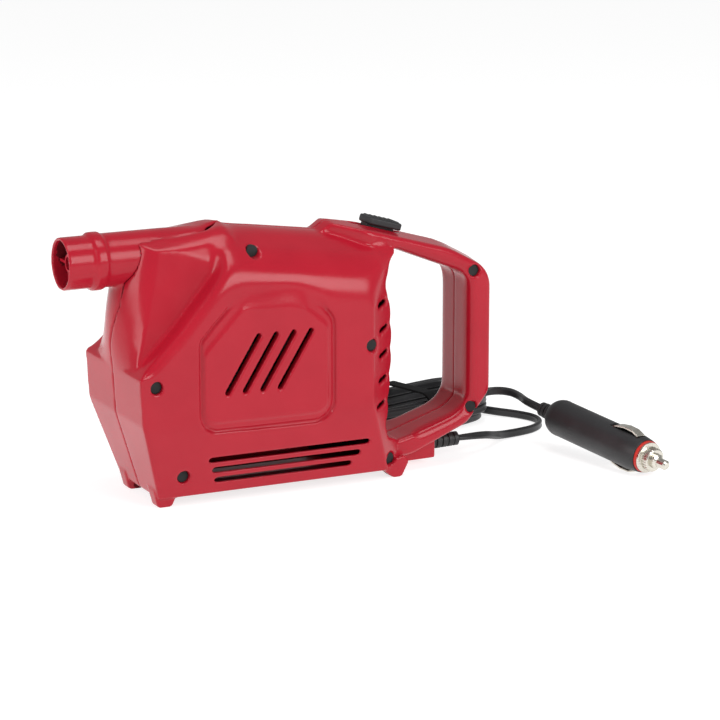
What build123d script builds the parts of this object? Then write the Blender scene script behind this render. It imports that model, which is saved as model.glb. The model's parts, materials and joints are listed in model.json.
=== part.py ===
from build123d import *
import math
import os

# Hand-held 12 V air mattress pump, in millimetres.
# +X runs from the nozzle to the handle, +Z is up, and z = 0 is the surface it stands on.
# The casing splits near y = 0 into a left half (-Y) and a right half (+Y).

os.makedirs("parts", exist_ok=True)

# ---------------------------------------------------------------- driving dimensions
wall = 2.4
side_y = 39.4
bottom_z = 5.2

# Every finished piece is moved along X so that the casing is centred over the origin.
to_middle = Location((3.1, 0, 0))

nozzle_x = -126.5
nozzle_z = 131.0
nozzle_r = 14.0
nozzle_bore = 12.3
tube_r = 14.3
tube_end_x = -47.0
collar_x = -111.0
collar_r = 15.5
collar_w = 6.0

grip_half = 18.5
handle_wall = 2.2

screw_hole_r = 3.5
screw_head_r = 3.2
screw_head_t = 2.2
screw_shank_r = 1.4
screw_length = 14.0
boss_r = 4.8
post_r = 3.8
pilot_gap = 0.05

fan_x = -26.0
fan_z = 78.0
fan_r = 28.0
hub_r = 5.0
motor_r = 13.85
can_wall = 1.0
motor_back_y = 28.0
shaft_r = 1.15
running_gap = 0.04
volute_front_y = -24.0
volute_back_y = -8.0
volute_wall = 1.5
duct_low_z = 104.0

slide_travel = 5.0
bar_slope = math.radians(16.3)

cord_r = 2.4
cord_exit = (107.0, 0.0, 10.5)

# (x, z, y of the outside surface) of each casing screw
screw_places = [
    (-28.5, 134.0, -27.5),
    (-89.0, 69.0, -side_y),
    (-71.0, 17.0, -30.4),
    (35.6, 79.0, -39.0),
    (53.0, 11.0, -25.0),
    (107.9, 109.3, -grip_half),
    (107.0, 32.5, -grip_half),
]


# ---------------------------------------------------------------- outer form of the pump
# Outlines are (point, corner radius) pairs. Side outlines are in x and z.
rear_notches = [(50.6, 101.5), (52.6, 87.5), (52.9, 73.5), (52.0, 59.5), (50.0, 45.5), (48.4, 32.0)]
scallop_bulge = 1.6
block_side = [
    ((-84.0, bottom_z), 2),
    ((-97.1, 48.7), 5),
    ((-98.5, 74.0), 1.5),
    ((-75.0, 96.8), 60),
    ((-48.8, 127.0), 16),
    ((-40.5, 160.0), 0),
    ((60.0, 160.0), 0),
    ((58.5, 126.0), 2),
    ((53.6, 120.0), 6),
    ((49.2, 109.5), 3),
    *[(notch, 0) for notch in rear_notches],
    ((51.0, 24.0), 0),
    ((66.0, 17.0), 0),
    ((66.0, 7.6), 0),
    ((50.0, bottom_z), 0),
]

crown_slope = math.radians(8.0)
crown_plane = Plane(
    origin=(-38.6, 0, 146.0),
    x_dir=(0, 1, 0),
    z_dir=(math.cos(crown_slope), 0, -math.sin(crown_slope)),
)
crown_half = [((side_y, -200.0), 0), ((side_y, -22.0), 24), ((27.0, -10.0), 30), ((8.0, -0.4), 30)]
lean_half = [((22.8, -10.0), 0), ((side_y, 47.5), 30), ((side_y, 170.0), 0)]
plan_rear = [((-120.0, 46.0), 0), ((28.0, 46.0), 12), ((60.0, 19.5), 0)]

# The neck is narrower than the block, bows out to the front and leans back under the nozzle.
# Its roof rises to the rear. Each section is (z, front x, edge x, edge y, rear x, rear y).
neck_sections = [
    (72.0, -98.3, -97.6, 27.5, -40.0, 31.0),
    (116.0, -97.6, -84.0, 21.8, -38.0, 28.5),
    (147.0, -88.5, -77.5, 17.5, -36.0, 24.0),
]
neck_slope = math.radians(-7.0)
neck_plane = Plane(
    origin=(-82.0, 0, 139.5),
    x_dir=(0, 1, 0),
    z_dir=(math.cos(neck_slope), 0, -math.sin(neck_slope)),
)
neck_half = [
    ((60.0, -90.0), 0),
    ((28.0, -20.0), 0),
    ((20.2, -3.5), 8),
    ((11.5, 1.8), 6),
    ((4.0, 1.8), 0),
]

# The handle is a D-shaped ring behind the block.
handle_outside = [
    ((15.5, 100.0), 0),
    ((16.0, 136.0), 0),
    ((25.5, 142.4), 5),
    ((46.0, 138.8), 90),
    ((94.0, 124.9), 50),
    ((120.3, 110.5), 18),
    ((120.3, 40.0), 12),
    ((106.0, 21.9), 16),
    ((70.0, 7.2), 30),
    ((30.0, 6.6), 0),
]
handle_opening = [
    ((44.0, 15.8), 0),
    ((46.5, 114.0), 0),
    ((54.5, 126.9), 0),
    ((60.0, 125.3), 40),
    ((86.0, 114.8), 60),
    ((104.8, 107.5), 8),
    ((104.8, 36.0), 4),
    ((98.0, 30.0), 20),
    ((67.6, 20.2), 30),
]

handle_plan_half = [((0.0, 7.5), 0), ((24.0, 8.5), 0), ((44.0, 18.5), 12), ((130.0, 18.5), 0)]
handle_dome = 7.0

front_foot = [
    ((-86.2, 10.0), 0),
    ((-83.6, 0.0), 1),
    ((-75.5, 0.0), 1),
    ((-72.5, 6.5), 0),
    ((-72.5, 10.0), 0),
]
rear_foot = [
    ((48.0, 8.0), 0),
    ((48.6, 5.4), 2),
    ((55.0, 0.0), 1),
    ((60.5, 0.0), 1),
    ((65.0, 8.4), 0),
    ((62.0, 12.0), 0),
]
foot_in = 16.0
foot_out = 25.0
gland_end_x = 88.5
gland_half = 10.0
gland_side = [
    ((50.0, 7.0), 0),
    ((66.0, 3.5), 1),
    ((gland_end_x, 3.8), 1),
    ((gland_end_x, 15.0), 0),
    ((66.0, 9.5), 0),
    ((50.0, 16.0), 0),
]


def outline(corners):
    """Closed line through corners with their radii, in the sketch that is being drawn."""
    points = [point for point, radius in corners]
    radii = [radius for point, radius in corners]
    FilletPolyline(*points, radius=radii, close=True)


def both_sides(half):
    """Closed section from its +Y half, given from the bottom to the top."""
    return half + [((-y, z), radius) for (y, z), radius in reversed(half)]


def facing(y):
    """The side plane at y. Extruding by a negative amount from it goes towards +Y."""
    return Plane.XZ.offset(-y)


def prism(plane, corners, inset=0.0, depth=160.0):
    """A section, shrunk on every side by inset, swept both ways from its plane."""
    with BuildPart() as bar:
        with BuildSketch(plane):
            with BuildLine():
                outline(corners)
            make_face()
            if inset:
                offset(amount=-inset, kind=Kind.INTERSECTION)
        extrude(amount=depth, both=True)
    return bar.part


def slab(corners, y_low, y_high, inset=0.0):
    """A side outline, shrunk by inset, given a thickness along Y."""
    with BuildPart() as plate:
        with BuildSketch(facing(y_low)):
            with BuildLine():
                outline(corners)
            make_face()
            if inset:
                offset(amount=-inset)
        extrude(amount=y_low - y_high)
    return plate.part


def rod(x, z, y_low, y_high, radius):
    """A round bar along Y."""
    with BuildPart() as bar:
        with BuildSketch(facing(y_low)):
            with Locations((x, z)):
                Circle(radius)
        extrude(amount=y_low - y_high)
    return bar.part


def pipe_form(x_low, x_high, radius, y=0.0, z=nozzle_z):
    """A round bar along X."""
    with BuildPart() as bar:
        with BuildSketch(Plane.YZ.offset(x_low)):
            with Locations((y, z)):
                Circle(radius)
        extrude(amount=x_high - x_low)
    return bar.part


def block_form(inset):
    """The main block: a side outline cut by a leaning section, a sloping crown and a plan."""
    plan = plan_rear + [((x, -y), radius) for (x, y), radius in reversed(plan_rear)]
    with BuildPart() as form:
        add(prism(Plane.XZ, block_side, inset, depth=60))
        if not inset:
            for high, low in zip(rear_notches, rear_notches[1:]):
                middle = ((high[0] + low[0]) / 2 + scallop_bulge, (high[1] + low[1]) / 2)
                with BuildSketch(Plane.XZ):
                    with BuildLine():
                        ThreePointArc(high, middle, low)
                        Polyline(low, (40.0, low[1]), (40.0, high[1]), high)
                    make_face()
                extrude(amount=60, both=True)
        add(prism(Plane.YZ, both_sides(lean_half), inset), mode=Mode.INTERSECT)
        add(prism(crown_plane, both_sides(crown_half), inset), mode=Mode.INTERSECT)
        add(prism(Plane.XY, plan, inset), mode=Mode.INTERSECT)
    return form.part


def neck_form(inset):
    """The neck: a smooth loft through its sections under a roof that rises to the rear."""
    with BuildPart() as form:
        for z, front_x, edge_x, edge_y, rear_x, rear_y in neck_sections:
            with BuildSketch(Plane.XY.offset(z)):
                with BuildLine():
                    ThreePointArc((edge_x, edge_y), (front_x, 0), (edge_x, -edge_y))
                    Polyline((edge_x, -edge_y), (rear_x, -rear_y), (rear_x, rear_y), (edge_x, edge_y))
                make_face()
                if inset:
                    offset(amount=-inset, kind=Kind.INTERSECTION)
        loft()
        add(prism(neck_plane, both_sides(neck_half), inset), mode=Mode.INTERSECT)
    return form.part


def in_opening(p):
    """True for a point on the edge of the hand opening or inside it."""
    floor_z = 15 + 0.4 * (p.X - 67)
    roof_z = 128.5 - 0.42 * (p.X - 58)
    return 45 < p.X < 105 and floor_z < p.Z < roof_z


def side_edges(form, around_opening):
    """The long side edges of the handle, round its opening or round its outside."""
    edges = form.faces().filter_by(Axis.Y).edges()
    clear = edges.filter_by(lambda e: e.center().X > 36)
    return clear.filter_by(lambda e: in_opening(e.center()) == around_opening)


def handle_form(inset, outside_edge_r=0.0, opening_edge_r=0.0):
    """The D-shaped handle, domed across its width, its long edges rounded behind the block."""
    plan = handle_plan_half + [((x, -y), radius) for (x, y), radius in reversed(handle_plan_half)]
    with BuildPart() as form:
        with BuildSketch(Plane.XZ):
            with BuildLine():
                outline(handle_outside)
            make_face()
            if inset:
                offset(amount=-inset, kind=Kind.INTERSECTION)
        extrude(amount=grip_half - inset, both=True, taper=handle_dome)
        add(prism(Plane.XZ, handle_opening, -inset), mode=Mode.SUBTRACT)
        if outside_edge_r:
            fillet(side_edges(form, False), outside_edge_r)
            fillet(side_edges(form, True), opening_edge_r)
        add(prism(Plane.XY, plan, inset), mode=Mode.INTERSECT)
    return form.part


with BuildPart() as outside:
    add(block_form(0))
    add(neck_form(0))
    add(handle_form(0, outside_edge_r=2.8, opening_edge_r=2.2))
    add(pipe_form(nozzle_x, collar_x, nozzle_r))
    add(pipe_form(collar_x, tube_end_x, tube_r))
    add(pipe_form(collar_x, collar_x + collar_w, collar_r))
    add(slab(gland_side, -gland_half, gland_half))
    for side in (-1, 1):
        for foot in (front_foot, rear_foot):
            add(slab(foot, min(side * foot_in, side * foot_out), max(side * foot_in, side * foot_out)))

with BuildPart() as hollow:
    add(block_form(wall))
    add(neck_form(wall))
    add(handle_form(handle_wall))
    add(pipe_form(nozzle_x, tube_end_x, tube_r), mode=Mode.SUBTRACT)
    add(pipe_form(nozzle_x - 1, tube_end_x - wall, nozzle_bore))


# ---------------------------------------------------------------- openings in the casing
# A groove with a deep outer edge runs round the side panel, which has four slanted air slots.
panel_outer = [
    ((-65, 91.5), 8),
    ((-39.5, 118), 10),
    ((-3, 115.5), 18),
    ((13.8, 97), 12),
    ((13.8, 39.5), 12),
    ((-65, 40.5), 12),
]
panel_inner = [
    ((-61.5, 84.5), 6),
    ((-38.5, 108.3), 8),
    ((-8, 107.3), 14),
    ((9, 93), 8),
    ((9, 45.5), 7),
    ((-61.5, 46.5), 7),
]
groove_deep_w = 2.3
groove_deep = 2.1
groove_shallow = 1.0
panel_back_y = 34.2
panel_slots = 4
panel_slot_pitch = 10.1
panel_slot_first = (-39.9, 76.7)
panel_slot_length = 37.2
panel_slot_w = 2.9
panel_slot_angle = 58.0

# (x from, x to, z) of each low side slot
low_slots = [(-57.5, 37.1, 24.8), (-54.9, 32.4, 18.8), (-52.9, 27.9, 12.9)]
low_slot_h = 2.8

# (x, z) of each short slot at the rear corner
corner_slots = [(44.5, 99.6), (45.9, 85.7), (45.9, 71.8), (45.2, 58.0), (43.6, 44.2)]
corner_slot_length = 8.5
corner_slot_h = 2.2
corner_slot_angle = 14.0

with BuildPart() as side_cuts:
    add(slab(panel_outer, -50, -20) - slab(panel_outer, -50, -20, groove_deep_w) - block_form(groove_deep))
    add(slab(panel_outer, -50, -20) - slab(panel_inner, -50, -20) - block_form(groove_shallow))
    with BuildSketch(facing(-50)):
        for index in range(panel_slots):
            with Locations((panel_slot_first[0] + index * panel_slot_pitch, panel_slot_first[1])):
                SlotOverall(panel_slot_length, panel_slot_w, rotation=panel_slot_angle)
        for x_low, x_high, z in low_slots:
            with Locations(((x_low + x_high) / 2, z)):
                SlotOverall(x_high - x_low, low_slot_h)
    extrude(amount=-24)
    with BuildSketch(facing(-50)):
        with Locations(*corner_slots):
            SlotOverall(corner_slot_length, corner_slot_h, rotation=corner_slot_angle)
    extrude(amount=-26)

with BuildPart() as panel_backing:
    add(slab(panel_outer, -side_y + wall / 2, -panel_back_y))

# The part of the -Y side that the right casing takes: the whole nozzle and the ridge below it.
seam_front = [
    ((0.0, 86.0), 0),
    ((0.1, 150.0), 0),
    ((-9.5, 150.0), 0),
    ((-9.5, 128.0), 0),
    ((-8.6, 108.0), 0),
]
seam_top = [
    ((-130.0, 1.0), 0),
    ((-130.0, -12.0), 0),
    ((-53.0, -12.0), 0),
    ((-38.0, 0.0), 0),
    ((-38.0, 1.0), 0),
]

with BuildPart() as left_space:
    Box(300, 60, 200, align=(Align.CENTER, Align.MAX, Align.MIN))
    add(prism(Plane.YZ, seam_front, depth=200) & prism(Plane.XY, seam_top, depth=200), mode=Mode.SUBTRACT)
    add(pipe_form(nozzle_x - 2, tube_end_x, tube_r), mode=Mode.SUBTRACT)
    add(pipe_form(collar_x, collar_x + collar_w, collar_r), mode=Mode.SUBTRACT)
    add(pipe_form(nozzle_x - 2, tube_end_x, nozzle_r), mode=Mode.SUBTRACT)

# Switch slot in the top of the handle, along the slope of its top bar.
bar_origin = (57.0, 0.0, 135.6)
bar_x = (math.cos(bar_slope), 0, -math.sin(bar_slope))
bar_up = (math.sin(bar_slope), 0, math.cos(bar_slope))
bar_side = Plane(origin=bar_origin, x_dir=bar_x, z_dir=(0, -1, 0))
bar_top = Plane(origin=bar_origin, x_dir=bar_x, z_dir=bar_up)
switch_slot_low = -18.5
switch_slot_high = 13.0
switch_slot_half = 4.2

with BuildPart() as switch_slot:
    with BuildSketch(bar_top.offset(-4)):
        with Locations(((switch_slot_low + switch_slot_high) / 2, 0)):
            SlotOverall(switch_slot_high - switch_slot_low, 2 * switch_slot_half)
    extrude(amount=8)

duct_x_low = -64.5
duct_x_high = -48.5
gland_bore_r = 4.6

# Fan ears and the posts that carry them: (angle, reach) from the fan axis.
ear_angles = [30.0, -60.0, -140.0]
ear_reach = 44.0
ear_front_y = -11.0
ear_places = [
    (fan_x + ear_reach * math.cos(math.radians(angle)), fan_z + ear_reach * math.sin(math.radians(angle)))
    for angle in ear_angles
]
switch_s_low = -27.0
switch_s_high = -10.0
switch_n_low = -10.8
switch_n_high = -5.6
shelf_n_low = -12.2
shelf_corners = [
    (-28, shelf_n_low),
    (-9, shelf_n_low),
    (-9, switch_n_low),
    (-28, switch_n_low),
]

with BuildPart() as shell_cuts:
    add(switch_slot.part)
    add(side_cuts.part)
    add(mirror(side_cuts.part, about=Plane.XZ))
    add(pipe_form(60, gland_end_x + 2, gland_bore_r, z=cord_exit[2]))
    with BuildSketch(Plane.XY.offset(nozzle_z - tube_r - 1)):
        with Locations(((duct_x_low + duct_x_high) / 2, 0)):
            Rectangle(duct_x_high - duct_x_low - 2 * volute_wall, 15)
    extrude(amount=10)

with BuildPart() as shell:
    add(outside.part)
    add(hollow.part, mode=Mode.SUBTRACT)
    add(panel_backing.part)
    add(mirror(panel_backing.part, about=Plane.XZ))


def screw_bosses(left):
    """The short bosses of the left casing, or the tall posts of the right casing."""
    with BuildPart() as bosses:
        for x, z, surface_y in screw_places:
            seat_y = surface_y + 4.6
            if left:
                add(rod(x, z, -50, seat_y + 3, boss_r))
            else:
                add(rod(x, z, seat_y + 3 + pilot_gap, 50, post_r))
        add(outside.part, mode=Mode.INTERSECT)
    return bosses.part


def inner_supports():
    """Posts for the fan and a shelf under the switch, all on the right casing."""
    with BuildPart() as supports:
        for x, z in ear_places:
            add(rod(x, z, volute_back_y, 50, post_r))
        for depth in (5.5, -50):
            with BuildSketch(bar_side):
                with BuildLine():
                    Polyline(*shelf_corners, close=True)
                make_face()
            extrude(amount=depth)
        add(outside.part, mode=Mode.INTERSECT)
        for x, z in ear_places:
            add(rod(x, z, volute_back_y, volute_back_y + 16, screw_shank_r + pilot_gap), mode=Mode.SUBTRACT)
    return supports.part


def screw_holes(left):
    """The stepped holes of the left casing, or the pilot holes of the right casing."""
    with BuildPart() as holes:
        for x, z, surface_y in screw_places:
            seat_y = surface_y + 4.6
            if left:
                add(rod(x, z, -50, seat_y, screw_hole_r))
                add(rod(x, z, seat_y, seat_y + 4, screw_shank_r + 0.3))
            else:
                add(rod(x, z, seat_y, seat_y + screw_length + 2, screw_shank_r + pilot_gap))
    return holes.part


with BuildPart() as left_wall:
    add(shell.part)
    add(left_space.part, mode=Mode.INTERSECT)

with BuildPart() as left_casing:
    add(left_wall.part)
    add(screw_bosses(True))
    add(shell_cuts.part, mode=Mode.SUBTRACT)
    add(screw_holes(True), mode=Mode.SUBTRACT)
left_casing.part.label = "left_casing"
left_casing.part.move(to_middle)
export_step(left_casing.part, "parts/left_casing.step")

with BuildPart() as right_casing:
    add(screw_bosses(False))
    add(inner_supports())
    add(left_wall.part, mode=Mode.SUBTRACT)
    add(shell.part - left_space.part)
    add(shell_cuts.part, mode=Mode.SUBTRACT)
    add(screw_holes(False), mode=Mode.SUBTRACT)
right_casing.part.label = "right_casing"
right_casing.part.move(to_middle)
export_step(right_casing.part, "parts/right_casing.step")

with BuildPart() as casing_screws:
    for x, z, surface_y in screw_places:
        seat_y = surface_y + 4.6
        add(rod(x, z, seat_y - screw_head_t, seat_y, screw_head_r))
        add(rod(x, z, seat_y, seat_y + screw_length, screw_shank_r))
casing_screws.part.label = "casing_screws"
casing_screws.part.move(to_middle)
export_step(casing_screws.part, "parts/casing_screws.step")

with BuildPart() as fan_screws:
    for x, z in ear_places:
        add(rod(x, z, ear_front_y - 2, ear_front_y, 2.7))
        add(rod(x, z, ear_front_y, ear_front_y + 14, screw_shank_r))
fan_screws.part.label = "fan_screws"
fan_screws.part.move(to_middle)
export_step(fan_screws.part, "parts/fan_screws.step")

# ---------------------------------------------------------------- nozzle hub
hub_ring_r = 4.75
with BuildPart() as nozzle_hub:
    with BuildSketch(Plane.YZ.offset(-122.0)):
        with Locations((0, nozzle_z)):
            Circle(hub_ring_r)
            Rectangle(2 * nozzle_bore, 1.4)
            Rectangle(1.4, 2 * nozzle_bore)
            Circle(hub_ring_r - 1.2, mode=Mode.SUBTRACT)
    extrude(amount=9)
    add(pipe_form(-130, -100, nozzle_bore), mode=Mode.INTERSECT)
nozzle_hub.part.label = "nozzle_hub"
nozzle_hub.part.move(to_middle)
export_step(nozzle_hub.part, "parts/nozzle_hub.step")

# ---------------------------------------------------------------- fan
# Distances from the fan axis to the inside of the spiral wall.
spiral_top = 33.0
spiral_rear = 35.5
spiral_bottom = 38.5
spiral_front = 37.0
tongue = (-50.0, 99.0)


def spiral(margin, start, top_z):
    """The outline of the spiral and its upright outlet channel."""
    right = (fan_x + spiral_rear + margin, fan_z)
    bottom = (fan_x, fan_z - spiral_bottom - margin)
    left = (fan_x - spiral_front - margin, fan_z)
    top = (fan_x, fan_z + spiral_top + margin)
    Polyline(start, (start[0], top_z), (left[0], top_z), left)
    Line(start, top)
    Spline(top, right, bottom, left, tangents=[(1, 0), (0, 1)])


with BuildPart() as volute_housing:
    with BuildSketch(facing(volute_front_y)):
        with BuildLine():
            spiral(volute_wall, (duct_x_high, 102.0), duct_low_z)
        make_face()
    extrude(amount=volute_front_y - volute_back_y)
    with BuildSketch(facing(ear_front_y)):
        for angle, place in zip(ear_angles, ear_places):
            with Locations(place):
                Circle(4)
            with Locations(Location((fan_x, fan_z), angle)):
                with Locations((ear_reach - 8, 0)):
                    Rectangle(16, 8)
    extrude(amount=ear_front_y - volute_back_y)
    with BuildSketch(facing(volute_front_y)):
        with BuildLine():
            spiral(0, tongue, duct_low_z + 1)
        make_face()
    extrude(amount=volute_front_y - volute_back_y + volute_wall, mode=Mode.SUBTRACT)
    with BuildSketch(facing(volute_front_y)):
        with Locations((fan_x, fan_z)):
            Circle(5.0)
        with Locations(*ear_places):
            Circle(1.6)
        with Locations((fan_x, fan_z + 8), (fan_x, fan_z - 8)):
            Circle(1.3)
    extrude(amount=-20, mode=Mode.SUBTRACT)
volute_housing.part.label = "volute_housing"
volute_housing.part.move(to_middle)
export_step(volute_housing.part, "parts/volute_housing.step")

eye_r = 13.0
with BuildPart() as volute_cover:
    with BuildSketch(facing(volute_front_y - volute_wall)):
        with BuildLine():
            spiral(volute_wall, (duct_x_high, 102.0), duct_low_z)
        make_face()
        with Locations((fan_x, fan_z)):
            Circle(eye_r, mode=Mode.SUBTRACT)
    extrude(amount=-volute_wall)
volute_cover.part.label = "volute_cover"
volute_cover.part.move(to_middle)
export_step(volute_cover.part, "parts/volute_cover.step")

duct_top_z = 121.0
with BuildPart() as outlet_duct:
    for shrink, mode in ((0.0, Mode.ADD), (volute_wall, Mode.SUBTRACT)):
        width = duct_x_high - duct_x_low - 2 * shrink
        middle = (duct_x_low + duct_x_high) / 2
        low_y = (volute_front_y + volute_back_y) / 2
        with BuildSketch(Plane.XY.offset(duct_low_z)):
            with Locations((middle, low_y)):
                Rectangle(width, volute_back_y - volute_front_y - 2 * shrink)
        with BuildSketch(Plane.XY.offset(duct_top_z)):
            with Locations((middle, 0)):
                Rectangle(width, 18 - 2 * shrink)
        loft(ruled=True, mode=mode)
    add(pipe_form(-90, -30, tube_r), mode=Mode.SUBTRACT)
outlet_duct.part.label = "outlet_duct"
outlet_duct.part.move(to_middle)
export_step(outlet_duct.part, "parts/outlet_duct.step")

blade_count = 9
blade_root_r = 10.5
blade_tip_r = 27.5
blade_sweep = 38.0
blade_t = 1.2
plate_front_y = -11.5
plate_back_y = -10.3


def fan_point(radius, angle):
    """A point in the fan's plane, from its axis."""
    return (fan_x + radius * math.cos(math.radians(angle)), fan_z + radius * math.sin(math.radians(angle)))


with BuildPart() as impeller:
    add(rod(fan_x, fan_z, plate_front_y, plate_back_y, fan_r))
    add(rod(fan_x, fan_z, -20.5, plate_back_y, hub_r))
    with BuildSketch(facing(-22)):
        for index in range(blade_count):
            start = index * 360 / blade_count
            middle_r = (blade_root_r + blade_tip_r) / 2
            root_t = math.degrees(blade_t / blade_root_r)
            middle_t = math.degrees(blade_t / middle_r)
            tip_t = math.degrees(blade_t / blade_tip_r)
            swept = start + blade_sweep
            halfway = start + 0.36 * blade_sweep
            with BuildLine():
                ThreePointArc(
                    fan_point(blade_root_r, start),
                    fan_point(middle_r, halfway),
                    fan_point(blade_tip_r, swept),
                )
                Line(fan_point(blade_tip_r, swept), fan_point(blade_tip_r, swept + tip_t))
                ThreePointArc(
                    fan_point(blade_tip_r, swept + tip_t),
                    fan_point(middle_r, halfway + middle_t),
                    fan_point(blade_root_r, start + root_t),
                )
                Line(fan_point(blade_root_r, start + root_t), fan_point(blade_root_r, start))
            make_face()
    extrude(amount=plate_front_y - plate_back_y - 9.3)
    add(rod(fan_x, fan_z, -24, -8, shaft_r), mode=Mode.SUBTRACT)
impeller.part.label = "impeller"
impeller.part.move(to_middle)
export_step(impeller.part, "parts/impeller.step")

# ---------------------------------------------------------------- motor, on the fan axis
boss_back_y = -9.5
bush_r = 2.5
bell_back_y = 30.5
bell_front_y = 26.5

with BuildPart() as motor_can:
    add(rod(fan_x, fan_z, volute_back_y, motor_back_y, motor_r))
    add(rod(fan_x, fan_z, boss_back_y, volute_back_y, 5.0))
    add(rod(fan_x, fan_z, volute_back_y + 1.6, motor_back_y, motor_r - can_wall), mode=Mode.SUBTRACT)
    add(rod(fan_x, fan_z, -12, 0, bush_r), mode=Mode.SUBTRACT)
    for side in (-1, 1):
        add(rod(fan_x, fan_z + 8 * side, -12, 0, 1.2), mode=Mode.SUBTRACT)
motor_can.part.label = "motor_can"
motor_can.part.move(to_middle)
export_step(motor_can.part, "parts/motor_can.step")

with BuildPart() as motor_screws:
    for side in (-1, 1):
        add(rod(fan_x, fan_z + 8 * side, boss_back_y, -3.5, 1.2))
motor_screws.part.label = "motor_screws"
motor_screws.part.move(to_middle)
export_step(motor_screws.part, "parts/motor_screws.step")

with BuildPart() as motor_magnets:
    add(rod(fan_x, fan_z, -3, 21, motor_r - can_wall))
    add(rod(fan_x, fan_z, -3, 21, 11.0), mode=Mode.SUBTRACT)
    with Locations((fan_x, 9, fan_z)):
        Box(12, 40, 40, mode=Mode.SUBTRACT)
motor_magnets.part.label = "motor_magnets"
motor_magnets.part.move(to_middle)
export_step(motor_magnets.part, "parts/motor_magnets.step")

pole_count = 3
with BuildPart() as motor_armature:
    with BuildSketch(facing(-1)):
        with Locations((fan_x, fan_z)):
            Circle(10.3)
            Circle(7.6, mode=Mode.SUBTRACT)
            with PolarLocations(8.5, pole_count, start_angle=30):
                Rectangle(6, 4, mode=Mode.SUBTRACT)
            with PolarLocations(5, pole_count, start_angle=90):
                Rectangle(8, 3)
            Circle(3)
            Circle(shaft_r, mode=Mode.SUBTRACT)
    extrude(amount=-18)
motor_armature.part.label = "motor_armature"
motor_armature.part.move(to_middle)
export_step(motor_armature.part, "parts/motor_armature.step")

with BuildPart() as motor_windings:
    with BuildSketch(facing(-2.5)):
        with Locations((fan_x, fan_z)):
            with PolarLocations(5.0, pole_count, start_angle=90):
                Rectangle(3.4, 6.8)
            with PolarLocations(5.0, pole_count, start_angle=90):
                Rectangle(9, 3, mode=Mode.SUBTRACT)
    extrude(amount=-21)
    with BuildSketch(facing(-2.5)):
        with Locations((fan_x, fan_z)):
            with PolarLocations(5.0, pole_count, start_angle=90):
                Rectangle(3.4, 6.8)
    extrude(amount=-1.5)
    with BuildSketch(facing(17)):
        with Locations((fan_x, fan_z)):
            with PolarLocations(5.0, pole_count, start_angle=90):
                Rectangle(3.4, 6.8)
    extrude(amount=-1.5)
    add(rod(fan_x, fan_z, -5, 25, 3.0), mode=Mode.SUBTRACT)
motor_windings.part.label = "motor_windings"
motor_windings.part.move(to_middle)
export_step(motor_windings.part, "parts/motor_windings.step")

with BuildPart() as motor_commutator:
    add(rod(fan_x, fan_z, 19.5, 25.5, 3.0))
    add(rod(fan_x, fan_z, 19.5, 25.5, shaft_r), mode=Mode.SUBTRACT)
motor_commutator.part.label = "motor_commutator"
motor_commutator.part.move(to_middle)
export_step(motor_commutator.part, "parts/motor_commutator.step")

with BuildPart() as motor_shaft:
    add(rod(fan_x, fan_z, -20.5, 30, shaft_r))
motor_shaft.part.label = "motor_shaft"
motor_shaft.part.move(to_middle)
export_step(motor_shaft.part, "parts/motor_shaft.step")

with BuildPart() as front_bush:
    add(rod(fan_x, fan_z, boss_back_y, -5, bush_r))
    add(rod(fan_x, fan_z, boss_back_y, -5, shaft_r + running_gap), mode=Mode.SUBTRACT)
front_bush.part.label = "front_bush"
front_bush.part.move(to_middle)
export_step(front_bush.part, "parts/front_bush.step")

with BuildPart() as rear_bush:
    add(rod(fan_x, fan_z, bell_front_y, bell_back_y, bush_r))
    add(rod(fan_x, fan_z, bell_front_y, bell_back_y, shaft_r + running_gap), mode=Mode.SUBTRACT)
rear_bush.part.label = "rear_bush"
rear_bush.part.move(to_middle)
export_step(rear_bush.part, "parts/rear_bush.step")

terminal_z = 8.5
with BuildPart() as motor_end_bell:
    add(rod(fan_x, fan_z, motor_back_y, bell_back_y, motor_r))
    add(rod(fan_x, fan_z, bell_front_y, motor_back_y, motor_r - can_wall))
    for side in (-1, 1):
        with Locations((fan_x, 24, fan_z + side * terminal_z)):
            Box(5, 5, 5)
    add(rod(fan_x, fan_z, 20, 32, bush_r), mode=Mode.SUBTRACT)
    for side in (-1, 1):
        with Locations((fan_x, 23, fan_z + side * 5.5)):
            Box(2.4, 3, 11, mode=Mode.SUBTRACT)
        with Locations((fan_x, 28, fan_z + side * terminal_z)):
            Box(3, 11.4, 0.6, mode=Mode.SUBTRACT)
motor_end_bell.part.label = "motor_end_bell"
motor_end_bell.part.move(to_middle)
export_step(motor_end_bell.part, "parts/motor_end_bell.step")

with BuildPart() as motor_brushes:
    for side in (-1, 1):
        with Locations((fan_x, 23, fan_z + side * 5.6)):
            Box(2.3, 2.9, 5.1)
motor_brushes.part.label = "motor_brushes"
motor_brushes.part.move(to_middle)
export_step(motor_brushes.part, "parts/motor_brushes.step")

terminal_end_y = 33.6
with BuildPart() as motor_terminals:
    for side in (-1, 1):
        with Locations((fan_x, (22.3 + terminal_end_y) / 2, fan_z + side * terminal_z)):
            Box(3, terminal_end_y - 22.3, 0.6)
motor_terminals.part.label = "motor_terminals"
motor_terminals.part.move(to_middle)
export_step(motor_terminals.part, "parts/motor_terminals.step")

# ---------------------------------------------------------------- switch, along the top bar
knob_s_low = -8.5
knob_s_high = 11.5
knob_low_n = 0.4
knob_high_n = 5.1
knob_half = 7.0
strip_high_n = -4.2
strip_low_n = -5.2
nub_low_s = -15.0
nub_high_s = -12.0


def bar_box(s_low, s_high, n_low, n_high, half, y=0.0):
    """A block set along the handle's top bar."""
    with BuildPart() as block:
        with BuildSketch(bar_side.offset(-y)):
            with Locations(((s_low + s_high) / 2, (n_low + n_high) / 2)):
                Rectangle(s_high - s_low, n_high - n_low)
        extrude(amount=half, both=True)
    return block.part


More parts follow.
